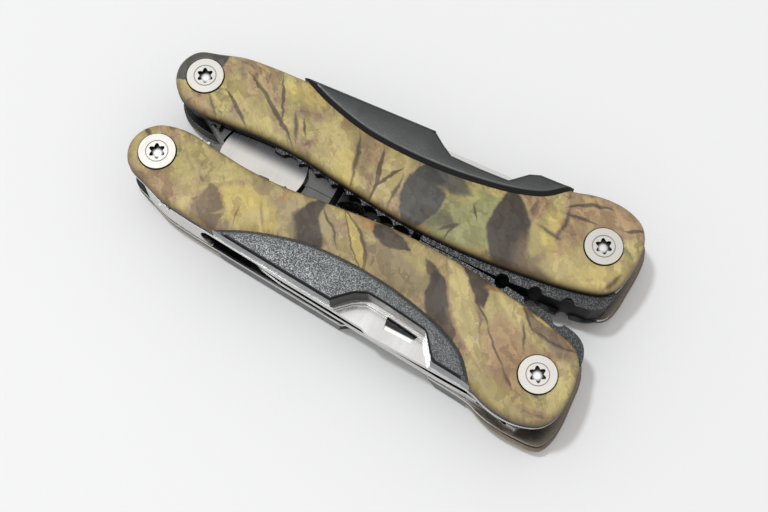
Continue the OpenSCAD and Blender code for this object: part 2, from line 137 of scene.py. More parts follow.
class Shade:
    """One procedural material, its places in millimetres in the part's frame.

    p is the surface point, out its distance from the centre line, high its distance from the
    middle plane, and level is 1 on faces that look up or down and 0 on upright ones.
    """

    def __init__(self, name):
        self.mat = bpy.data.materials.new(name)
        self.mat.use_nodes = True
        self.tree = self.mat.node_tree
        self.tree.nodes.clear()
        self.bsdf = self.new("ShaderNodeBsdfPrincipled")
        out = self.new("ShaderNodeOutputMaterial")
        self.tree.links.new(self.bsdf.outputs[0], out.inputs[0])
        coord = self.new("ShaderNodeTexCoord")
        self.p = self.vector("SCALE", coord.outputs["Object"], 1 / MM)
        self.x, self.y, self.z = self.split(self.p)
        self.out = self.math("ABSOLUTE", self.y)
        self.high = self.math("ABSOLUTE", self.math("SUBTRACT", self.z, MID_Z))
        self.level = self.math("ABSOLUTE", self.split(coord.outputs["Normal"])[2])

    def new(self, kind, **props):
        node = self.tree.nodes.new(kind)
        for key, value in props.items():
            setattr(node, key, value)
        return node

    def put(self, socket, value):
        if isinstance(value, bpy.types.NodeSocket):
            self.tree.links.new(value, socket)
        elif socket.type == "RGBA":
            socket.default_value = (*value, 1) if len(value) == 3 else value
        else:
            socket.default_value = value

    def vector(self, op, a, b):
        node = self.new("ShaderNodeVectorMath", operation=op)
        self.put(node.inputs[0], a)
        self.put(node.inputs["Scale" if op == "SCALE" else 1], b)
        return node.outputs[0]

    def math(self, op, a, b=0.0):
        node = self.new("ShaderNodeMath", operation=op)
        self.put(node.inputs[0], a)
        self.put(node.inputs[1], b)
        return node.outputs[0]

    def plus(self, a, b):
        return self.math("ADD", a, b)

    def minus(self, a, b):
        return self.math("SUBTRACT", a, b)

    def times(self, a, b):
        return self.math("MULTIPLY", a, b)

    def split(self, v):
        node = self.new("ShaderNodeSeparateXYZ")
        self.put(node.inputs[0], v)
        return node.outputs

    def stretch(self, sizes, turn=0.0, v=None):
        """Coordinates turned by some degrees about Z and scaled on each axis."""
        node = self.new("ShaderNodeMapping", vector_type="TEXTURE")
        self.put(node.inputs["Vector"], self.p if v is None else v)
        node.inputs["Rotation"].default_value = (0, 0, math.radians(turn))
        node.inputs["Scale"].default_value = sizes
        return node.outputs[0]

    def noise(self, size, detail=2.0, rough=0.5, distortion=0.0, v=None, colour=False):
        """Noise with features about size millimetres across."""
        node = self.new("ShaderNodeTexNoise")
        self.put(node.inputs["Vector"], self.p if v is None else v)
        node.inputs["Scale"].default_value = 1 / size
        node.inputs["Detail"].default_value = detail
        node.inputs["Roughness"].default_value = rough
        node.inputs["Distortion"].default_value = distortion
        return node.outputs["Color" if colour else "Fac"]

    def cells(self, size, v=None):
        """A random value in each cell of a Voronoi pattern."""
        node = self.new("ShaderNodeTexVoronoi")
        self.put(node.inputs["Vector"], self.p if v is None else v)
        node.inputs["Scale"].default_value = 1 / size
        return self.split(node.outputs["Color"])[0]

    def borders(self, size, v=None):
        """Distance to the borders of the same Voronoi pattern."""
        node = self.new("ShaderNodeTexVoronoi", feature="DISTANCE_TO_EDGE")
        self.put(node.inputs["Vector"], self.p if v is None else v)
        node.inputs["Scale"].default_value = 1 / size
        return node.outputs["Distance"]

    def apart(self, x, y):
        """Distance in plan from an axis at x, and y outward."""
        dx, dy = self.minus(self.x, x), self.minus(self.out, y)
        return self.math("SQRT", self.plus(self.times(dx, dx), self.times(dy, dy)))

    def between(self, value, low, high, a=0.0, b=1.0):
        """a up to low, b from high on, and smooth between them."""
        node = self.new("ShaderNodeMapRange", interpolation_type="SMOOTHSTEP")
        self.put(node.inputs["Value"], value)
        for key, x in (("From Min", low), ("From Max", high), ("To Min", a), ("To Max", b)):
            self.put(node.inputs[key], x)
        return node.outputs[0]

    def band(self, value, low, high, soft, soft_end=None):
        """1 between low and high, falling to 0 there over the widths soft and soft_end."""
        start = self.between(value, low, low + soft)
        return self.times(start, self.between(value, high - (soft_end or soft), high, 1, 0))

    def flat(self):
        """1 on faces that look up or down."""
        return self.between(self.level, 0.8, 0.95)

    def mix(self, fac, a, b, blend="MIX"):
        node = self.new("ShaderNodeMix", data_type="RGBA", blend_type=blend)
        self.put(node.inputs["Factor"], fac)
        self.put(node.inputs[6], a)
        self.put(node.inputs[7], b)
        return node.outputs[2]

    def ramp(self, fac, *stops):
        node = self.new("ShaderNodeValToRGB")
        self.put(node.inputs[0], fac)
        elements = node.color_ramp.elements
        while len(elements) < len(stops):
            elements.new(0.5)
        for element, (place, colour) in zip(elements, stops):
            element.position = place
            element.color = (*colour, 1)
        return node.outputs[0]

    def bump(self, height, strength, depth):
        """A bump whose full height is depth millimetres."""
        node = self.new("ShaderNodeBump")
        self.put(node.inputs["Height"], height)
        node.inputs["Strength"].default_value = strength
        node.inputs["Distance"].default_value = depth * MM
        if self.bsdf.inputs["Normal"].links:
            self.put(node.inputs["Normal"], self.bsdf.inputs["Normal"].links[0].from_socket)
        self.put(self.bsdf.inputs["Normal"], node.outputs[0])

    def set(self, **inputs):
        names = {"colour": "Base Color", "rough": "Roughness", "metal": "Metallic",
                 "specular": "Specular IOR Level"}
        for key, value in inputs.items():
            self.put(self.bsdf.inputs[names[key]], value)
        return self.mat


def steel(name, colour, rough, grain=(8, 0.12, 0.12), scratch=0.5, shade=0.12, tint=None):
    """Steel with fine parallel grinding lines along grain, slight staining and a few scratches.

    tint(shade, colour) may paint shade and highlights into it, depending on where a point lies.
    """
    s = Shade(name)
    lines = s.noise(1, 3, 0.6, v=s.stretch(grain))
    cloud = s.noise(6, 3, 0.55)
    stain = s.plus(lines, cloud)
    s.bump(lines, scratch, 0.012)
    s.bump(s.noise(0.35, 2), 0.25, 0.006)
    tone = s.mix(s.between(stain, 0.75, 1.3), tuple(c * (1 - shade) for c in colour), colour)
    return s.set(colour=tint(s, tone) if tint else tone, metal=1.0,
                 rough=s.between(stain, 0.7, 1.35, rough + 0.08, rough - 0.05))


# Painted shade: a near-black colour painted on steel faces that lie deep between others.
PAINTED_DEEP_SHADE = (0.035, 0.035, 0.037)      # steel faces that lie deep between others


def plate_painted_shade(s, tone):
    """Painted shade: the inner faces of the side plates are painted near black towards the head, grey in the
    middle and browner near the tail.
    """
    inner = s.times(s.between(s.high, BAY + 0.02, BAY + 0.1, 1, 0), s.between(s.level, 0.9, 0.97))
    shade_paint = s.mix(s.between(s.x, -22, -6), (0.03, 0.03, 0.03), (0.30, 0.30, 0.30))
    shade_paint = s.mix(s.between(s.x, 30, 36), shade_paint, (0.17, 0.148, 0.13))
    return s.mix(inner, tone, shade_paint)


def jaw_painted_shade(s, tone):
    """Painted shade: the disc is painted darker towards the back handle; past it the jaws are painted dark
    grey, and black at the noses.
    """
    disc = s.mix(s.between(s.y, -0.4, 2.6), tone, (0.085, 0.087, 0.09))
    past = s.mix(s.between(s.x, NOSE_X - 0.6, NOSE_X + 0.6), (0.105, 0.105, 0.104), (0.03, 0.03, 0.031))
    return s.mix(s.between(s.apart(*DISC), DISC_R, DISC_R + 0.1), disc, past)


def socket_painted_light(s, tone):
    """Painted light: the driver socket's walls and lobes are painted dark as shade, the middle of its floor
    gets a painted highlight, and a ring near the head's rim is painted darker as shade.
    """
    away = s.math("MINIMUM", s.apart(*HEAD_PIVOT), s.apart(*TAIL_PIVOT))
    middle = s.times(s.flat(), s.between(away, 0.45, 1.2, 1, 0))
    socket = s.mix(middle, (0.04, 0.04, 0.042), (0.72, 0.72, 0.72))
    ring = s.times(s.band(away, 2.1, 2.37, 0.06, 0.07), 0.6)
    return s.mix(s.between(s.high, 8.35, 8.6), socket, s.mix(ring, tone, (0.15, 0.15, 0.15)))


def tool_painted_shade(s, tone):
    """Painted shade: tools hidden between others are painted near black on their flat faces and keep their
    steel colour along their edges.
    """
    return s.mix(s.flat(), tone, PAINTED_DEEP_SHADE)


def blade_painted_light(s, tone):
    """Painted light: the blade's underside is painted near black as shade, and its nail nick has painted
    shade on its inner half and walls and a painted highlight on its outer half.
    """
    rise = s.minus(s.z, MID_Z)
    tone = s.mix(s.times(s.flat(), s.between(rise, 2.1, 2.4, 1, 0)), tone, PAINTED_DEEP_SHADE)
    nick = s.mix(s.between(s.out, 18.15, 18.5), (0.05, 0.055, 0.058), (1.0, 1.0, 1.0))
    nick = s.mix(s.between(s.level, 0.7, 0.9), (0.02, 0.02, 0.02), nick)
    inside = s.times(s.band(s.x, *NICK_X, 0.2), s.band(s.out, *NICK_OUT, 0.1, 0.15))
    return s.mix(s.times(inside, s.band(rise, *NICK_HIGH, 0.05, 0.06)), tone, nick)


def cut_painted_shade(s, tone):
    """Painted shade: the cut along the lower pads is painted darker, and so is a thumb notch's wall, half as
    much past x 26, with a near-black band along it.
    """
    low = s.between(s.z, 4.9, 5.6, 1, 0)
    notch = s.times(s.between(s.out, 20.6, 20.8, 1, 0), s.between(s.x, NOTCH_X - 0.3, NOTCH_X - 0.1))
    shade_paint = s.math("MAXIMUM", low, s.times(notch, s.between(s.x, 26, 26.2, 1, 0.5)))
    past_start = s.between(s.x, NOTCH_X + 0.1, NOTCH_X + 0.3)
    notch_dark_band = s.times(s.band(s.z, 14.2, 14.9, 0.1), s.times(notch, past_start))
    return s.mix(notch_dark_band, s.mix(shade_paint, tone, (0.12, 0.12, 0.122)), (0.02, 0.02, 0.02))


def black_metal(name, dark, light, sparkle, grain=0.15, rough=0.42, fade=None):
    """Sprayed black finish with fine metal flakes and a grainy surface; its sides are smooth and painted
    darker as shade.

    fade(shade) tells how much of the flakes is seen at each place, which paints their glints up or down as
    light and shade.
    """
    s = Shade(name)
    flake = s.cells(grain)
    fine = s.noise(grain * 1.4, 2, 0.65)
    cloud = s.noise(5, 2)
    amount = s.between(s.plus(flake, s.times(fine, 0.8)), 1.32 - sparkle, 1.62 - sparkle * 0.7)
    amount = s.times(amount, s.between(s.level, 0.6, 0.85))
    if fade:
        amount = s.times(amount, fade(s))
    tone = s.mix(s.between(cloud, 0.3, 0.7), dark, tuple(c * 1.25 for c in dark))
    # Painted shade: faces that don't look up or down are painted near black.
    tone = s.mix(s.between(s.level, 0.5, 0.85), (0.008, 0.008, 0.009), tone)
    s.bump(s.plus(fine, s.times(flake, 0.5)), 0.35 + sparkle * 0.4, 0.05)
    return s.set(colour=s.mix(amount, tone, light), metal=s.between(amount, 0, 1, 0.15, 0.75),
                 rough=s.between(amount, 0, 1, rough, rough - 0.12),
                 specular=s.between(s.level, 0.5, 0.85, 0.15, 0.5))


def pad_painted_glint(s):
    """Painted light: the front pad's flakes are painted to glint most left of its thumb notch and dimmer
    towards both ends.
    """
    return s.times(s.between(s.x, -30, -16, 0.45, 1), s.between(s.x, -6, 20, 1, 0.55))


def frame_painted_shade(s):
    """Painted shade: the lower frame plates show few flakes, and so do the upper ones near the tail."""
    return s.times(s.between(s.z, 5, 8, 0.12, 1), s.between(s.x, 33, 40, 1, 0.55))


def leaf_group():
    """Node group: where a point lies in a leaf shape, tapered at both ends and bent along its length."""
    tree = bpy.data.node_groups.new("leaf", "ShaderNodeTree")
    face = tree.interface
    for key in ("Point", "Place", "Turn", "Size"):
        face.new_socket(key, in_out="INPUT", socket_type="NodeSocketVector")
    for key in ("Bend", "Blur"):
        face.new_socket(key, in_out="INPUT", socket_type="NodeSocketFloat")
    for key in ("Mask", "Rib"):
        face.new_socket(key, in_out="OUTPUT", socket_type="NodeSocketFloat")
    s = Shade.__new__(Shade)
    s.tree = tree
    ins = s.new("NodeGroupInput").outputs
    outs = s.new("NodeGroupOutput").inputs
    place = s.new("ShaderNodeMapping", vector_type="TEXTURE")
    for key, slot in (("Vector", "Point"), ("Location", "Place"), ("Rotation", "Turn"), ("Scale", "Size")):
        s.put(place.inputs[key], ins[slot])
    u, v, _ = s.split(place.outputs[0])
    square = s.times(u, u)
    v = s.math("ABSOLUTE", s.plus(v, s.times(square, ins["Bend"])))
    edge = s.minus(s.plus(v, square), 1.0)
    blur = ins["Blur"]
    s.put(outs["Mask"], s.between(edge, s.times(blur, -1.0), blur, 1.0, 0.0))
    s.put(outs["Rib"], s.between(v, 0.03, 0.14, 1.0, 0.0))
    return tree


# ---- Shapes ----

def new_piece(name, bm, like, materials, sharp):
    """A finished piece that stands for the CAD node it was shaped from."""
    mesh = bpy.data.meshes.new(name)
    bmesh.ops.scale(bm, vec=(MM,) * 3, verts=bm.verts)
    bm.normal_update()
    bm.to_mesh(mesh)
    bm.free()
    ob = bpy.data.objects.new(name, mesh)
    bpy.context.scene.collection.objects.link(ob)
    for material in materials:
        mesh.materials.append(material)
    mesh.polygons.foreach_set("use_smooth", [True] * len(mesh.polygons))
    mesh.set_sharp_from_angle(angle=math.radians(sharp))
    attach(ob, body_of_node[like])
    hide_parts(like)
    return ob


def welded(node):
    """A copy of a CAD node's mesh with its faces joined, in millimetres."""
    bm = bmesh.new()
    bm.from_mesh(nodes[node].data)
    bmesh.ops.scale(bm, vec=(1 / MM,) * 3, verts=bm.verts)
    bmesh.ops.remove_doubles(bm, verts=bm.verts, dist=0.002)
    bmesh.ops.dissolve_degenerate(bm, edges=bm.edges, dist=0.001)
    return bm


def outer_face(bm):
    """Which way a node's outer flat face looks, its height and its faces."""
    zs = [v.co.z for v in bm.verts]
    up = 1 if (min(zs) + max(zs)) / 2 > MID_Z else -1
    level = max(zs) if up > 0 else min(zs)
    return up, level, [f for f in bm.faces if all(abs(v.co.z - level) < 0.003 for v in f.verts)]


def plan(verts):
    return np.array([v.co.xy[:] for v in verts])


def face_loops(faces):
    """The closed loops of vertices round a set of faces."""
    chosen = set(faces)
    follow = {}
    for f in faces:
        for loop in f.loops:
            if sum(g in chosen for g in loop.edge.link_faces) == 1:
                follow[loop.vert] = loop.link_loop_next.vert
    loops = []
    while follow:
        start, v = next(iter(follow.items()))
        ring = [start]
        del follow[start]
        while v is not start:
            ring.append(v)
            v = follow.pop(v)
        loops.append(ring)
    return loops


def distance(points, a, b):
    """Distance of each point to the nearest of the segments a to b."""
    if len(a) == 0:
        return np.full(len(points), 1e9)
    d = b - a
    t = ((points[:, None] - a) * d).sum(2) / np.maximum((d * d).sum(1), 1e-12)
    near = a + np.clip(t, 0, 1)[..., None] * d
    return np.linalg.norm(points[:, None] - near, axis=2).min(1)


def inside(points, loops):
    """Which points lie inside the outline and outside its holes."""
    odd = np.zeros(len(points), bool)
    for ring in loops:
        a, b = ring, np.roll(ring, -1, axis=0)
        for (ax, ay), (bx, by) in zip(a, b):
            if ay != by:
                cross = (ay > points[:, 1]) != (by > points[:, 1])
                odd ^= cross & (points[:, 0] < (bx - ax) * (points[:, 1] - ay) / (by - ay) + ax)
    return odd


def shaped_face(node, classify, profiles, grid=2.0):
    """The node's welded mesh with its outer flat face shaped near its outline.

    classify(middles, hole) names the kind of each outline segment, and profiles[kind] lists
    (distance from the outline, drop below the face) pairs.
    """
    bm = welded(node)
    up, level, top = outer_face(bm)
    rings = face_loops(top)
    flat = [plan(ring) for ring in rings]
    spans = [np.ptp(ring[:, 0]) for ring in flat]
    a = np.concatenate(flat)
    b = np.concatenate([np.roll(ring, -1, axis=0) for ring in flat])
    is_hole = np.concatenate([np.full(len(ring), span < max(spans)) for ring, span in zip(flat, spans)])
    kinds = classify((a + b) / 2, is_hole)

    def drop(points):
        low = np.zeros(len(points))
        for kind, profile in profiles.items():
            reach, height = zip(*profile)
            pick = kinds == kind
            low = np.maximum(low, np.interp(distance(points, a[pick], b[pick]), reach, height))
        return low

    side = b - a
    side = side / np.linalg.norm(side, axis=1, keepdims=True)
    normal = np.stack([-side[:, 1], side[:, 0]], 1) * up
    points, edges = [tuple(p) for p in a], []
    for ring in flat:
        start, n = len(edges), len(ring)
        edges += [(start + i, start + (i + 1) % n) for i in range(n)]
    for kind, profile in profiles.items():
        along = []
        for i in np.flatnonzero(kinds == kind):
            steps = max(1, round(np.linalg.norm(b[i] - a[i]) / 0.8))
            along += [(i, (k + 0.5) / steps) for k in range(steps)]
        if not along:
            continue
        which, t = np.array([i for i, _ in along]), np.array([t for _, t in along])
        for reach, _ in profile[1:]:
            row = a[which] + (b[which] - a[which]) * t[:, None] + normal[which] * reach
            clear = (distance(row, a, b) > reach * 0.97) & inside(row, flat)
            last = None
            for p, good in zip(row, clear):
                if not good:
                    last = None
                    continue
                points.append(tuple(p))
                here = len(points) - 1
                if last is not None and np.linalg.norm(np.subtract(points[last], p)) < 1.3:
                    edges.append((last, here))
                last = here
    far = max(profile[-1][0] for profile in profiles.values()) + 0.5
    lo, hi = a.min(0), a.max(0)
    xs, ys = np.meshgrid(np.arange(lo[0], hi[0], grid), np.arange(lo[1], hi[1], grid))
    field = np.stack([xs.ravel(), ys.ravel()], 1)
    field = field[inside(field, flat)]
    field = field[distance(field, a, b) > far]
    points += [tuple(p) for p in field]
    out, _, tris, origin, _, _ = delaunay_2d_cdt([Vector(p) for p in points], edges, [], 0, 1e-5)
    out = np.array([p[:] for p in out])
    tris = np.array([t for t in tris if len(t) == 3])
    tris = tris[inside(out[tris].mean(1), flat)]
    height = level - up * drop(out)
    bmesh.ops.delete(bm, geom=top, context="FACES_ONLY")
    rim = [v for ring in rings for v in ring]
    verts = []
    for i, source in enumerate(origin):
        old = [s for s in source if s < len(rim)]
        if old:
            v = rim[old[0]]
            v.co.z = height[i]
        else:
            v = bm.verts.new((*out[i], height[i]))
        verts.append(v)
    for t in tris:
        try:
            bm.faces.new([verts[i] for i in t])
        except ValueError:
            continue
    bmesh.ops.recalc_face_normals(bm, faces=bm.faces)
    bmesh.ops.delete(bm, geom=[v for v in bm.verts if not v.link_faces], context="VERTS")
    return bm


def face_outline(node):
    """Segments (a, b) round the outer flat face of a node."""
    bm = welded(node)
    _, _, top = outer_face(bm)
    flat = [plan(ring) for ring in face_loops(top)]
    bm.free()
    return np.concatenate(flat), np.concatenate([np.roll(ring, -1, axis=0) for ring in flat])


def along_outer_edge(x):
    """Distance from the centre line of a handle's straight outer edge beside the pads."""
    start_x, start_out, slope = -26.95, 18.65, 0.0683
    return start_out + (x - start_x) * slope


EDGE_R = 1.7         # rounding of a scale's edge
CROWN = 0.12         # how much a scale's face rises towards its middle
TAIL_SWELL = 0.06    # how much further the lower scales reach out round the tail pivot
round_edge = [(EDGE_R * (1 - math.cos(math.radians(t))), CROWN + EDGE_R * (1 - math.sin(math.radians(t))))
              for t in range(0, 91, 15)]


def make_scale(side, face, material):
    node = f"{side}_{face}_scale"
    pad_a, pad_b = face_outline(f"{side}_{face}_pad")

    def classify(middles, hole):
        shared = distance(middles, pad_a, pad_b) < 0.06
        return np.where(hole, "hole", np.where(shared, "pad", "free"))

    bm = shaped_face(node, classify, {
        "free": round_edge + [(6.0, 0.0)],
        "pad": [(0, 0.15), (0.15, 0)],
        "hole": [(0, 0.18), (0.18, 0)]})
    if face == "bottom":
        for v in bm.verts:
            dx, dy = v.co.x - TAIL_PIVOT[0], abs(v.co.y) - TAIL_PIVOT[1]
            past_screw = min(1, max(0, math.hypot(dx, dy) - 5) / 3)
            swell = TAIL_SWELL * past_screw * min(1, max(0, dx + 9) / 6)
            v.co.x += dx * swell
            v.co.y += math.copysign(dy * swell, v.co.y)
    return new_piece(f"{side}_{face}_patterned_scale", bm, node, [material], 28)


def make_pad(side, face, materials):
    """A pad with chamfered edges. materials are for its face, its edges (black, painted darker as shade), its
    bright outer cut and a strip that paints a highlight line.
    """
    node = f"{side}_{face}_pad"
    scale_a, scale_b = face_outline(f"{side}_{face}_scale")

    def classify(middles, hole):
        shared = distance(middles, scale_a, scale_b) < 0.06
        notch = np.abs(middles[:, 1]) < along_outer_edge(middles[:, 0]) - 0.5
        return np.where(shared, "inner", np.where(notch, "notch", "outer"))

    bm = shaped_face(node, classify, {
        "inner": [(0, 0.9), (0.75, 0.14), (0.9, 0.03), (1.05, 0)],
        "outer": [(0, 0.5), (0.4, 0.08), (0.6, 0)],
        "notch": [(0, 0.4), (0.3, 0.06), (0.45, 0)]}, grid=4.0)
    bm.normal_update()
    middles = np.array([f.calc_center_median()[:] for f in bm.faces])
    tilt = np.array([abs(f.normal.z) for f in bm.faces])
    outward = np.abs(middles[:, 1]) - along_outer_edge(middles[:, 0])
    inner = distance(middles[:, :2], scale_a, scale_b)
    wall = tilt < 0.3
    notch_wall = wall & (middles[:, 0] > NOTCH_X + 0.25) & (outward < -0.5) & (inner > 0.3)
    # Faces that don't lie flat get the black side material, painted darker as shade; the front pad's inner
    # chamfer keeps the face material.
    kind = np.where(tilt > 0.995, 0, 1)
    if side == "front":
        kind[(tilt > 0.3) & (inner < 1.2)] = 0
    kind[wall & (outward > -0.5) | notch_wall] = 2
    if side == "back":
        # Painted highlight: a narrow strip between the back pad's chamfer and face gets the highlight
        # material.
        kind[(tilt > 0.75) & (tilt <= 0.995) & (inner > 0.7) & (inner < 1.1)] = 3
    for f, k in zip(bm.faces, kind):
        f.material_index = int(k)
    return new_piece(f"{side}_{face}_black_pad", bm, node, materials, 14)


def dress(node, material, bevel=0.0):
    """Gives a CAD node its material and small rounded edges."""
    ob = nodes[node]
    ob.material_slots[0].material = material
    if bevel:
        ob.modifiers.new("weld", "WELD").merge_threshold = 2e-6
        edge = ob.modifiers.new("edges", "BEVEL")
        edge.width = bevel * MM
        edge.segments = 2
        edge.limit_method = "ANGLE"
        edge.angle_limit = math.radians(38)
        edge.use_clamp_overlap = True
        edge.harden_normals = False
        ob.modifiers.new("normals", "WEIGHTED_NORMAL").keep_sharp = True


# ---- Leaf camouflage ----

TAN = (0.39, 0.31, 0.17)
OLIVE = (0.42, 0.35, 0.15)
YELLOW = (0.56, 0.44, 0.15)
CREAM = (0.52, 0.43, 0.20)
PINK = (0.40, 0.27, 0.16)
SAGE = (0.30, 0.30, 0.14)
TAUPE = (0.068, 0.055, 0.050)
BROWN = (0.21, 0.15, 0.10)
DARK = (0.085, 0.085, 0.085)
TWIG = (0.085, 0.062, 0.052)
ORANGE = (0.45, 0.25, 0.10)


def camo(name, patches, turn, leaf):
    """Printed camouflage: soft mottling, then leaves, patches and twigs laid over one another.

    A patch is (x, y, half length, half width, angle, colour, blur, bend, strength), y measured outward.
    """
    s = Shade(name)
    flat = s.new("ShaderNodeCombineXYZ")
    s.put(flat.inputs[0], s.minus(s.x, 0.25))
    s.put(flat.inputs[1], s.out)
    plane = flat.outputs[0]
    wobble = s.vector("SUBTRACT", s.noise(3.6, 3, 0.55, v=plane, colour=True), (0.5, 0.5, 0.5))
    point = s.vector("ADD", plane, s.vector("SCALE", wobble, 1.7))
    streak = s.noise(1, 3, 0.55, 1.2, v=s.stretch((5.5, 1.5, 1), turn, v=plane))
    cloud = s.noise(6.5, 4, 0.6, 1.0, v=plane)
    colour = s.ramp(cloud, (0.34, BROWN), (0.41, PINK), (0.48, TAN), (0.55, OLIVE), (0.62, CREAM),
                    (0.70, SAGE))
    colour = s.mix(s.between(streak, 0.55, 0.63, 0, 0.35), colour, YELLOW)
    colour = s.mix(s.between(streak, 0.42, 0.34, 0, 0.45), colour, BROWN)
    tone = s.noise(1, 4, 0.6, 1.2, v=s.stretch((3.4, 1.6, 1), turn + 18, v=plane))
    warped = s.vector("ADD", plane, s.vector("SCALE", wobble, 5.0))
    small = s.stretch((4.4, 1.7, 1), turn + 8, v=warped)
    for px, py, half, wide, angle, tint, blur, bend, strength in patches:
        node = s.new("ShaderNodeGroup", node_tree=leaf)
        s.put(node.inputs["Point"], point)
        node.inputs["Place"].default_value = (px, py, 0)
        node.inputs["Turn"].default_value = (0, 0, math.radians(angle))
        node.inputs["Size"].default_value = (half, wide, 1)
        node.inputs["Bend"].default_value = bend / wide
        node.inputs["Blur"].default_value = blur / wide
        mask = s.times(node.outputs["Mask"], strength)
        colour = s.mix(mask, colour, tint)
        if wide > 1.2 and blur < 0.5:
            rib = s.times(s.times(node.outputs["Rib"], mask), 0.18)
            colour = s.mix(rib, colour, tuple(c * 0.5 for c in tint))
    tone = s.ramp(tone, (0.25, (0.84, 0.82, 0.80)), (0.5, (1, 1, 1)), (0.75, (1.1, 1.1, 1.06)))
    colour = s.mix(1.0, colour, tone, "MULTIPLY")
    tone = s.ramp(s.cells(1, small), (0.1, (0.80, 0.78, 0.76)), (0.5, (1, 1, 1)), (0.9, (1.13, 1.14, 1.1)))
    colour = s.mix(1.0, colour, tone, "MULTIPLY")
    colour = s.mix(s.between(s.borders(1, small), 0, 0.06, 0.14, 0), colour, (0.10, 0.07, 0.05))
    # Painted shade: a scale's rounded edge is painted browner and darker towards its side.
    rim = s.between(s.high, SCALE_FACE - 1.6, SCALE_FACE - 0.2, 0.75, 0.0)
    colour = s.mix(rim, colour, (0.15, 0.10, 0.045))
    # Painted shade: the side below an upper scale's rounded edge is painted near black.
    under = s.times(s.between(s.high, SCALE_FACE - 2.5, SCALE_FACE - 1.2, 0.95, 0.0), s.between(s.z, 9, 10))
    colour = s.mix(under, colour, (0.018, 0.016, 0.012))
    # Painted shade: the lower scales are painted grey-brown.
    colour = s.mix(s.between(s.z, 3.2, 4.2, 0.9, 0.0), colour, (0.29, 0.26, 0.225))
    s.bump(s.noise(0.9, 2), 0.12, 0.05)
    s.bump(s.noise(0.16, 2), 0.10, 0.02)
    return s.set(colour=colour, rough=s.between(cloud, 0.3, 0.7, 0.46, 0.56), specular=0.3)


def twig(x0, y0, x1, y1, wide, bend=0.0, blur=0.18, tint=TWIG, strength=0.85):
    """A thin dark twig between two points."""
    return ((x0 + x1) / 2, (y0 + y1) / 2, math.hypot(x1 - x0, y1 - y0) / 2 + 0.3, wide,
            math.degrees(math.atan2(y1 - y0, x1 - x0)), tint, blur, bend, strength)


back_patches = [
    (-24, 15.6, 6, 2.6, 8, YELLOW, 1.2, 0, 0.6), (-14, 9, 6, 3.4, -35, CREAM, 1.2, 0.5, 0.75),
    (-24.5, 12, 4.5, 2.2, 10, BROWN, 1.6, 0, 0.35), (-34, 8.5, 7, 2.6, -35, CREAM, 1.4, 0, 0.5),
    (-10, 5.6, 5, 2.4, -60, YELLOW, 1.0, 0, 0.5), (-8, 10, 6, 1.7, -70, BROWN, 0.9, 0, 0.55),
    (-1.2, 8, 6.5, 2.6, 82, CREAM, 0.5, 0, 0.8), (16.5, 7.5, 11, 6, 20, SAGE, 0.7, 0, 0.95),
    (6.2, 8, 8.5, 4.4, 92, DARK, 0.35, 0, 0.97), (10.5, 4.2, 5, 2, 10, TAUPE, 1.1, 0, 0.6),
    (12.5, 11.4, 4.5, 1.8, 10, OLIVE, 0.8, 0, 0.8), (24.6, 8.6, 9.5, 4.2, 112, TAUPE, 0.4, 0.4, 0.96),
    (27.6, 8, 7, 2.4, 108, TAUPE, 1.4, 0, 0.55), (29.5, 3.4, 7, 2.2, 4, TAUPE, 1.4, 0, 0.75),
    (30, 6.5, 6, 2.8, 100, BROWN, 1.2, 0, 0.6), (30.5, 11, 5, 2.4, 95, OLIVE, 0.8, 0, 0.8),
    (9.6, 12.6, 5.5, 2.2, -8, DARK, 0.8, 0, 0.85),
    (31.6, 14.6, 2.6, 1.3, -60, YELLOW, 0.5, 0, 0.8), (32.6, 10.4, 2.2, 1.3, -20, YELLOW, 0.5, 0, 0.8),
    (42, 8.5, 9, 5.5, 20, CREAM, 1.8, 0, 0.9), (44, 8.2, 5, 3, 20, YELLOW, 1.8, 0, 0.45),
    (41, 19.6, 9, 3.2, 5, PINK, 1.2, 0, 0.85), (35.8, 12.5, 5, 2, 80, PINK, 1.2, 0, 0.6),
    (-48.6, 12.4, 8.8, 5.2, 50, DARK, 0.2, 0, 0.97),
    twig(-39.5, 9, -32, 4, 0.42, 0.3), twig(-36.6, 14.8, -21.4, 4.8, 0.5, 0.5),
    twig(-30.4, 17, -26.2, 8.4, 0.34),
    twig(-24.4, 10.8, -21.6, 5.8, 0.5, 0, 0.4), twig(-22.2, 10.4, -20.6, 7.6, 0.25),
    twig(-10.4, 13, -7, 2.6, 0.5, 0.5, 0.4),
    twig(-4.7, 12.6, -2.2, 1.6, 0.5, 0.3), twig(0.2, 10.8, -3.2, 4.4, 0.42),
    twig(32.2, 19.2, 41, 23, 0.4, 0.7),
    twig(32.8, 17.4, 39.4, 17.9, 0.3), twig(44.6, 19.2, 49, 21.6, 0.36),
    twig(33.6, 19, 33.9, 12.4, 0.5, 0.4, 0.5),
    twig(16.5, 10, 18, 8, 0.22), twig(12.6, 2.6, 15.4, 5.4, 0.42), twig(14, 1.5, 14.8, 4.6, 0.25),
    twig(1, 9, 1.2, 2.4, 0.3, 0, 0.3), twig(-42, 6.4, -38.6, 3.2, 0.3, 0, 0.4),
    twig(29.5, 12.4, 33.8, 12, 0.3, 0, 0.4),
    twig(-39.6, 15.8, -37.6, 12.6, 0.8, 0, 0.9, BROWN, 0.6), twig(48, 10.4, 46.4, 7.2, 0.5, 0, 0.5)]
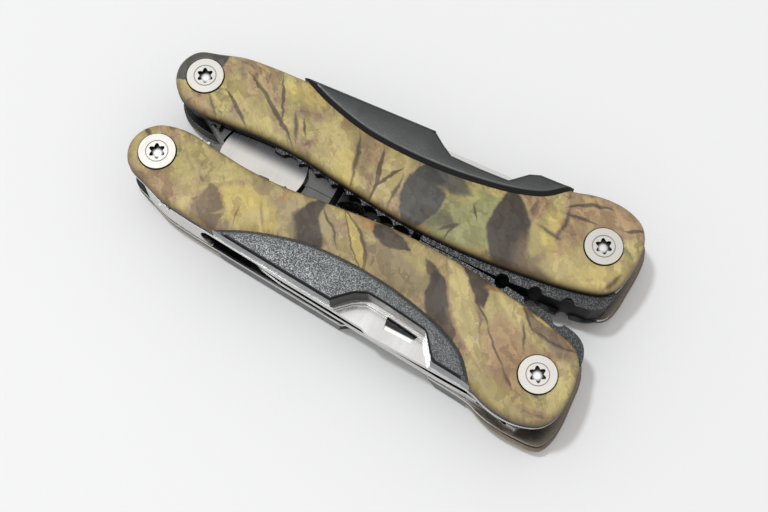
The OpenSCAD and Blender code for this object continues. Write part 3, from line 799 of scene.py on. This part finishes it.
front_patches = [
    (-42, 15.4, 7, 2.2, -14, PINK, 1.3, 0, 0.75), (-35.4, 13, 5.5, 1.7, 80, CREAM, 0.9, 0, 0.8),
    (-38.5, 8, 5, 2, -40, OLIVE, 1.3, 0, 0.7), (-29.6, 14.6, 5, 2.6, 60, BROWN, 0.45, 0.3, 0.9),
    (-27.5, 17.6, 3.4, 1.2, 0, BROWN, 0.6, 0, 0.8), (-22.6, 11.4, 7.5, 4.2, 8, YELLOW, 0.9, 0.3, 0.85),
    (-20.5, 12.6, 4, 1.6, -40, CREAM, 0.6, 0, 0.6), (-26, 12.6, 3.8, 0.5, -65, CREAM, 0.3, 0.8, 0.8),
    (-15, 6.6, 8, 3, 0, TAN, 1.3, 0, 0.8), (-17, 5.2, 2.2, 0.7, -70, ORANGE, 0.5, 0, 0.5),
    (-9.6, 9, 6.6, 4.6, 80, TAUPE, 0.6, 0, 0.93), (-14.2, 11, 4, 1.6, 40, TAN, 0.9, 0, 0.7),
    (-6.6, 7.2, 5.4, 1.9, 50, TAN, 0.35, 0.4, 0.9), (-5, 10.6, 3.6, 1.1, 40, TAN, 0.4, 0, 0.6),
    (9.5, 8.2, 9, 4.6, 6, (0.27, 0.21, 0.115), 0.8, 0, 0.95), (12.6, 5, 6, 1.8, 10, OLIVE, 1.0, 0, 0.7),
    (4.6, 3.6, 5, 1.9, 8, TAUPE, 0.35, 0.4, 0.93), (-0.6, 2.8, 2.2, 1.2, 30, ORANGE, 0.4, 0, 0.8),
    (-0.8, 7.2, 7, 1.25, 48, (0.10, 0.06, 0.04), 0.2, -0.5, 0.9),
    (-0.8, 7.2, 6.4, 0.95, 48, YELLOW, 0.2, -0.5, 1.0),
    (20.4, 11.2, 7.6, 3.4, 50, TAUPE, 0.4, 0, 0.95), (15.4, 5.8, 3, 1.1, 40, TAUPE, 0.35, 0, 0.85),
    (24.5, 14, 4.5, 1.8, 45, BROWN, 0.9, 0, 0.6), (25, 4.4, 6, 2.4, 30, TAUPE, 0.4, 0, 0.92),
    (28, 3.2, 2.4, 1.1, -20, ORANGE, 0.8, 0, 0.6), (24, 9.6, 13.5, 2.7, 50, PINK, 0.25, 0.5, 0.8),
    (24, 9.4, 13, 2.3, 50, CREAM, 0.25, 0.5, 0.97), (32.2, 7.2, 6.4, 4, 30, CREAM, 0.35, 0, 0.9),
    (36, 14, 9, 5, 50, PINK, 1.6, 0, 0.85), (36.5, 22, 8, 2.6, 8, OLIVE, 1.6, 0, 0.8),
    (47.4, 14, 7, 2.4, 90, CREAM, 1.4, 0, 0.8), (40.4, 6, 6.6, 2, 16, BROWN, 0.3, 0.4, 0.93),
    (44, 8.4, 5, 1.2, 14, BROWN, 0.8, 0, 0.7), (38.6, 4.6, 2.6, 0.5, 14, YELLOW, 0.2, 0, 0.85),
    (46, 6.6, 2.2, 0.5, 28, ORANGE, 0.2, 0, 0.85), (-32, 5.4, 8, 1.8, 2, OLIVE, 1.0, 0, 0.7),
    twig(-50, 5.4, -47.6, 7.2, 0.5, 0, 0.3), twig(-12, 4.2, -11.2, 12.6, 0.35, 0.4, 0.3),
    twig(-9.8, 9.8, -8.6, 12.6, 0.22),
    twig(-9.4, 4, -3.4, 9.6, 0.3, -0.5), twig(24.2, 5.8, 30, 10.6, 0.22), twig(30, 10.6, 36, 17, 0.2, 0.3),
    twig(35.6, 6.8, 37.8, 11.2, 0.3, 0, 0.3), twig(34.4, 3.8, 38.2, 7.6, 0.22),
    twig(38.2, 7.6, 46.8, 7.8, 0.3, 0.6),
    twig(42.6, 17.8, 44.4, 18.6, 0.35, 0, 0.3), twig(36.6, 17.2, 38.8, 19, 0.3, 0, 0.4),
    twig(-2, 3.2, 4.2, 11.4, 0.25, -0.9),
    twig(-24.6, 12, -23.6, 15.6, 0.2, 0.3, 0.2, BROWN),
    twig(-21, 9.6, -18.6, 13.4, 0.25, 0.3, 0.3, BROWN, 0.7),
    twig(-40.6, 6, -36.4, 9.6, 0.3, 0, 0.5, BROWN, 0.6), twig(26.8, 8.6, 30.8, 15.4, 0.2, 0, 0.3, BROWN, 0.7)]


# ---- Putting it together ----

leaf = leaf_group()
back_camo = camo("scale_pattern_back", back_patches, -52, leaf)
front_camo = camo("scale_pattern_front", front_patches, 48, leaf)
# Painted light: both pads have one finish; the front pad is a lit copy with bright flakes, the back pad a
# shaded copy with dim ones.
lit_front_pad = black_metal("pad_grain_painted_lit", (0.055, 0.060, 0.062), (0.40, 0.42, 0.43), 0.48, grain=0.125,
                        rough=0.62, fade=pad_painted_glint)
shaded_back_pad = black_metal("pad_grain_painted_shaded", (0.042, 0.045, 0.045), (0.085, 0.09, 0.09), 0.42, grain=0.12)
# Pad walls and chamfers: a black finish, painted darker than the pad faces as shade.
pad_side = black_metal("pad_side", (0.012, 0.012, 0.013), (0.012, 0.012, 0.013), 0.0, rough=0.35)
# Painted highlight: a thin grey steel strip standing in for the light line along the back pad's chamfer.
painted_edge_highlight = steel("painted_edge_highlight", (0.11, 0.115, 0.115), 0.45)
frame_grain = black_metal("frame_grain", (0.013, 0.014, 0.015), (0.24, 0.25, 0.26), 0.38, rough=0.5,
                          fade=frame_painted_shade)
spacer_black = black_metal("spacer_black", (0.018, 0.018, 0.020), (0.08, 0.08, 0.085), 0.2, rough=0.5)
bright_cut = steel("bright_cut", (0.30, 0.31, 0.32), 0.38, (10, 0.1, 0.1), tint=cut_painted_shade)
steel_satin = steel("steel_satin", (0.66, 0.66, 0.66), 0.24, (10, 0.14, 0.14))
plate_steel = steel("plate_steel", (0.66, 0.65, 0.63), 0.26, (10, 0.14, 0.14), tint=plate_painted_shade)
steel_bright = steel("steel_bright", (0.80, 0.80, 0.80), 0.14, (0.10, 8, 0.10), scratch=0.3)
tool_steel = steel("tool_steel", (0.70, 0.69, 0.66), 0.26, (9, 0.14, 0.14), tint=tool_painted_shade)
blade_steel = steel("blade_steel", (0.72, 0.72, 0.72), 0.16, (0.10, 8, 0.10), scratch=0.3, tint=blade_painted_light)
# Painted shade: near-black steel for parts that lie in shade between others.
steel_painted_dark = steel("steel_painted_dark", (0.05, 0.05, 0.052), 0.35)
jaw_steel = steel("jaw_steel", (0.50, 0.485, 0.46), 0.30, (0.12, 7, 0.12), scratch=0.35, tint=jaw_painted_shade)
screw_steel = steel("screw_steel", (0.60, 0.58, 0.55), 0.42, (0.3, 0.3, 0.3), scratch=0.3, shade=0.06,
                    tint=socket_painted_light)
pin_steel = steel("pin_steel", (0.5, 0.5, 0.5), 0.30, (0.3, 0.3, 0.3))

for side in ("front", "back"):
    for face in ("top", "bottom"):
        mine, other = (front_camo, back_camo) if side == "front" else (back_camo, front_camo)
        make_scale(side, face, mine if face == "top" else other)
        top = lit_front_pad if side == "front" else shaded_back_pad
        make_pad(side, face, [top, pad_side, bright_cut, painted_edge_highlight])
        dress(f"{side}_{face}_frame", frame_grain, 0.15)
    dress(f"{side}_channel", plate_steel, 0.12)
    dress(f"{side}_grip_spacer", spacer_black, 0.15)
    dress(f"{side}_tool_spring", steel_satin, 0.15)
    # Painted light: the back detent spring gets the near-black steel as shade, the front one the bright steel
    # as a lit copy.
    dress(f"{side}_detent_spring", steel_bright if side == "front" else steel_painted_dark, 0.1)
    dress(f"{side}_tool_washers", steel_satin)
    for place in ("head", "tail"):
        for part in ("screw", "barrel"):
            dress(f"{side}_{place}_{part}", screw_steel, 0.1)
for node in ("jaw_front", "jaw_back"):
    dress(node, jaw_steel, 0.15)
dress("joint_pin", pin_steel, 0.1)
for node in ("knife_blade", "serrated_blade"):
    dress(node, blade_steel, 0.08)
for node in ("wood_saw", "bottle_opener", "can_opener", "file"):
    dress(node, tool_steel, 0.1)
# Painted shade: the drivers lie between other tools and get the near-black steel.
for node in ("phillips_driver", "flat_driver"):
    dress(node, steel_painted_dark, 0.1)

floor_mesh = bpy.data.meshes.new("floor")
floor_mesh.from_pydata([(-3, -3, 0), (3, -3, 0), (3, 3, 0), (-3, 3, 0)], [], [(0, 1, 2, 3)])
floor = bpy.data.objects.new("floor", floor_mesh)
bpy.context.scene.collection.objects.link(floor)
paper = Shade("paper")
floor_mesh.materials.append(paper.set(
    colour=paper.mix(paper.noise(60, 2), (0.86, 0.866, 0.882), (0.87, 0.876, 0.892)), rough=0.55))
